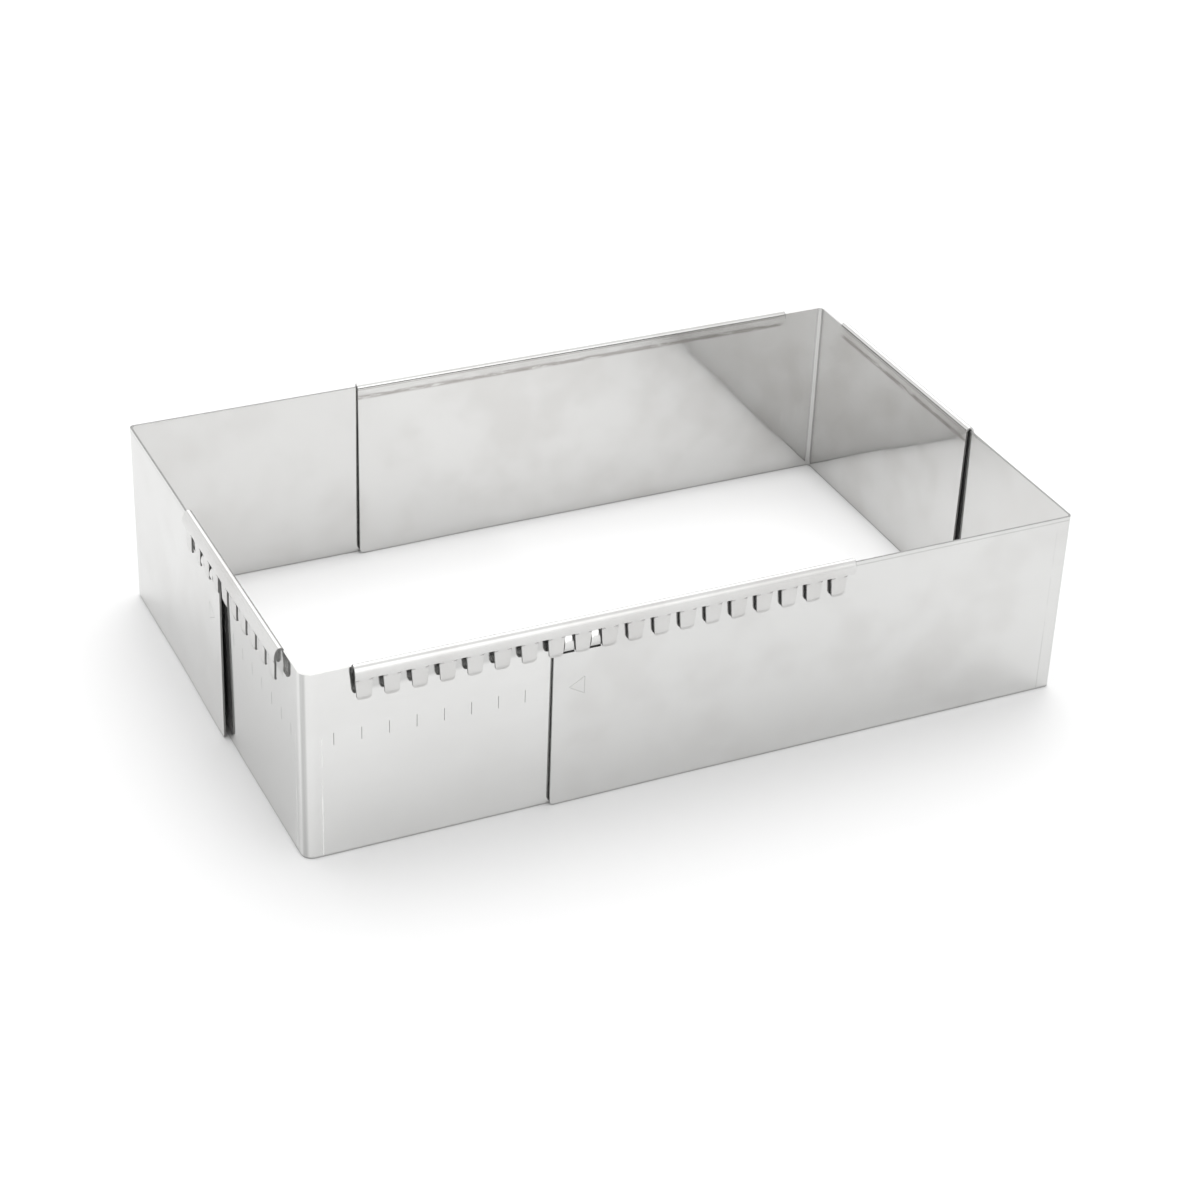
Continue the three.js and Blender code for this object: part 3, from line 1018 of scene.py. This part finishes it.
def plain_outside(blank):
    """The plain sheet's outer face: pointers by the free ends, a scribed line and an edge line."""
    finish = rolled_sheet("plain_sheet_outside", STEEL, HAZED, hazed=0.5, dulled=0.25,
                          bend_middle=0.0, bend_half=BAND_SHARE * blank.half_arc)
    pointer = pointer_outline(finish, blank)
    scribe = finish.effect("scribe", "Line", To_corner=to_corner(blank), Reach=PLAIN_SCRIBE_REACH,
                           High=PLAIN_SCRIBE_TOP)
    edge_line = finish.effect("press", "Band", Height=EDGE_LINE, Width=EDGE_LINE_HALF, Broken=0.3)
    finish.tint(pointer, MARK_AND_SHADE_GREY, amount=0.55)
    finish.roughen(pointer, by=0.25)
    finish.lift(pointer, by=-0.02)
    finish.tint(scribe, MARK_AND_SHADE_GREY, amount=0.45)
    finish.tint(edge_line, MARK_AND_SHADE_GREY, amount=0.5)
    worn_edge(finish, 0.0, depth=1.6)
    worn_edge(finish, WALL_HEIGHT, depth=1.0)
    foot_contact_shadow(finish)
    return finish.done()


def plain_inside(blank):
    """The plain sheet's inner face, worn along both edges."""
    finish = rolled_sheet("plain_sheet_inside", STEEL_INSIDE_SHADED, HAZED_INSIDE_SHADED, hazed=0.45, dulled=0.5,
                          bend_middle=0.0, bend_half=BAND_SHARE * blank.half_arc)
    worn_edge(finish, 0.0, depth=1.2)
    worn_edge(finish, WALL_HEIGHT, depth=1.2)
    foot_contact_shadow(finish)
    return finish.done()


def sheared_rim(name):
    """Cut edges: a burnished cut with rough breaks and fine tear lines across the thickness."""
    finish = Finish(name, RIM_BROKEN, RIM_ROUGHNESS)
    torn = finish.effect("grain", "Streak", Along=6.0, Across=6.0)
    smear = finish.effect("haze", "Haze", Per_metre=900.0, Clear=0.48)
    finish.tint(torn, RIM_BURNISHED, amount=0.8)
    finish.tint(smear, RIM_HAZE_AND_SHADE, amount=0.5)
    finish.roughen(torn, by=0.2)
    finish.lift(torn, by=0.03)
    return finish


def hemmed_rim(name, blank):
    """The hemmed sheet's cut edges: a painted highlight along the top, and painted shade at the hem's
    start and in the slots.
    """
    finish = sheared_rim(f"{name}_rim")
    # Painted highlight: the top rims are made light, where they face the sky
    finish.tint(finish.fade(finish.up, TOP_RIM_FROM, TOP_RIM_FULL), STEEL_DULL_SHADE_AND_HIGHLIGHT, amount=0.9)
    at_start = finish.fade(finish.reach(blank), START_RIM_FROM, START_RIM_FULL)
    # Painted shade on the rims at the hem's start, under the hem
    under_hem = product(finish.tree, shade_and_rub_under_hem(finish, blank), at_start)
    finish.tint(under_hem, RIM_HAZE_AND_SHADE, amount=0.8)
    # Painted shade on the tongues' rims, down in the slots
    between_tongues = finish.fade(finish.up, LIP_FOOT_RUN - SLOT_RIM_FADE, LIP_FOOT_RUN)
    finish.tint(between_tongues, RIM_HAZE_AND_SHADE, amount=0.8)
    return finish.done()


def plain_rim():
    """The plain sheet's cut edges."""
    return sheared_rim("plain_sheet_rim").done()


def sheet_piece(name, node, skin, turns, corner, finishes):
    """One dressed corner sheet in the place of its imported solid."""
    piece = bpy.data.objects.new(name, skin.mesh(name, turns, corner))
    bpy.context.scene.collection.objects.link(piece)
    for finish in finishes:
        piece.data.materials.append(finish)
    rounding = piece.modifiers.new("sheared_round", "BEVEL")
    rounding.width = SHEARED_ROUND * MM
    rounding.segments = SHEARED_STEPS
    rounding.limit_method = "ANGLE"
    rounding.angle_limit = math.radians(SHEARED_ANGLE)
    rounding.harden_normals = False
    shading = piece.modifiers.new("flat_faces", "WEIGHTED_NORMAL")
    shading.keep_sharp = True
    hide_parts(node)
    return piece


def hemmed_sheet_finishes(name, blank):
    """The outside, inside and rim of one hemmed sheet."""
    return [hemmed_outside(name, blank), hemmed_inside(name, blank), hemmed_rim(name, blank)]


def corner_sheets():
    """The four sheets: each kind once, then again half a turn round."""
    hemmed = Blank(HEMMED_LONG, HEMMED_SHORT, HEMMED_BEND, HEMMED_LONG_SPRING)
    sharper = Blank(HEMMED_LONG, HEMMED_SHORT, BACK_HEMMED_BEND, HEMMED_LONG_SPRING)
    plain = Blank(PLAIN_SHORT, PLAIN_LONG, PLAIN_BEND, PLAIN_LONG_SPRING, PLAIN_STAND_OFF)
    hemmed_finishes = hemmed_sheet_finishes("front_left", hemmed)
    sharper_finishes = hemmed_sheet_finishes("back_right", sharper)
    plain_finishes = [plain_outside(plain), plain_inside(plain), plain_rim()]
    hemmed_corner = (-HALF_LENGTH, -HALF_WIDTH)
    plain_corner = (HALF_LENGTH + WALL_STEP, -HALF_WIDTH - WALL_STEP)
    made = (
        ("hemmed", "front_left", hemmed_skin(hemmed), 0, hemmed_corner, hemmed_finishes),
        ("plain", "front_right", plain_skin(plain), 1, plain_corner, plain_finishes),
        ("hemmed", "back_right", hemmed_skin(sharper), 2, hemmed_corner, sharper_finishes),
        ("plain", "back_left", plain_skin(plain), 3, plain_corner, plain_finishes),
    )
    for kind, body, skin, turns, (x, y), finishes in made:
        half_turn = -1 if turns >= 2 else 1
        name = f"{body}_{kind}_sheet"
        node = f"{kind}_corner_{body}"
        piece = sheet_piece(name, node, skin, turns, (x * half_turn, y * half_turn), finishes)
        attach(piece, body)


def photo_camera():
    """The camera at the photograph's place, angle and lens."""
    azimuth, elevation, roll = map(math.radians, (VIEW_AZIMUTH, VIEW_ELEVATION, VIEW_ROLL))
    aim = Vector((
        -math.sin(azimuth) * math.cos(elevation),
        math.cos(azimuth) * math.cos(elevation),
        -math.sin(elevation),
    ))
    level = aim.cross(Vector((0, 0, 1))).normalized()
    rise = level.cross(aim)
    across = math.cos(roll) * level + math.sin(roll) * rise
    up = math.cos(roll) * rise - math.sin(roll) * level
    stand = Matrix((across, up, -aim)).transposed().to_4x4()
    stand.translation = (-aim * VIEW_DISTANCE + across * VIEW_ACROSS + up * VIEW_UP) * MM
    data = bpy.data.cameras.new("photo_camera")
    data.lens = LENS
    data.sensor_width = SENSOR
    camera = bpy.data.objects.new("photo_camera", data)
    camera.matrix_world = stand
    bpy.context.scene.collection.objects.link(camera)
    bpy.context.scene.camera = camera


def white_floor():
    """A wide white sheet just under the frame."""
    mesh = bpy.data.meshes.new("floor")
    corners = [(x * FLOOR_HALF * MM, y * FLOOR_HALF * MM, -FLOOR_DROP * MM)
               for x, y in ((-1, -1), (1, -1), (1, 1), (-1, 1))]
    mesh.from_pydata(corners, [], [(0, 1, 2, 3)])
    floor = bpy.data.objects.new("floor", mesh)
    bpy.context.scene.collection.objects.link(floor)
    material = bpy.data.materials.new("white_floor")
    material.use_nodes = True
    shader = material.node_tree.nodes["Principled BSDF"]
    shader.inputs["Base Color"].default_value = FLOOR_WHITE
    shader.inputs["Roughness"].default_value = FLOOR_ROUGHNESS
    shader.inputs["Specular IOR Level"].default_value = FLOOR_GLOSS
    mesh.materials.append(material)


def soft_sky():
    """A white sky with soft glows low down, half way up and overhead."""
    world = bpy.data.worlds.new("soft_sky")
    world.use_nodes = True
    bpy.context.scene.world = world
    tree = world.node_tree
    toward = lay(tree, "ShaderNodeTexCoord").outputs["Generated"]
    level = SKY_LEVEL
    for bearing, height, half_width, strength in SKY_GLOWS:
        turn, rise = math.radians(bearing), math.radians(height)
        middle = (math.cos(turn) * math.cos(rise), math.sin(turn) * math.cos(rise), math.sin(rise))
        node = lay(tree, "ShaderNodeVectorMath", {0: toward, 1: middle}, operation="DOT_PRODUCT")
        glow = fade(tree, node.outputs["Value"], math.cos(math.radians(half_width)), 1.0)
        level = calc(tree, "ADD", level, product(tree, glow, strength))
    background = tree.nodes["Background"]
    background.inputs["Color"].default_value = (1.0, 1.0, 1.0, 1.0)
    tree.links.new(level, background.inputs["Strength"])


def inside_lamps():
    """Soft lamps straight above, which fill the inside of the frame."""
    for middle, length, width, power in LAMPS:
        data = bpy.data.lights.new("inside_lamp", "AREA")
        data.shape = "RECTANGLE"
        data.size = length * MM
        data.size_y = width * MM
        data.energy = power
        data.spread = math.radians(LAMP_SPREAD)
        lamp = bpy.data.objects.new("inside_lamp", data)
        lamp.location = (middle * MM, 0, LAMP_HEIGHT * MM)
        bpy.context.scene.collection.objects.link(lamp)


def studio():
    """A plain white floor under soft white light."""
    white_floor()
    soft_sky()
    inside_lamps()
    bpy.context.scene.view_settings.view_transform = "Standard"


photo_camera()
studio()
corner_sheets()
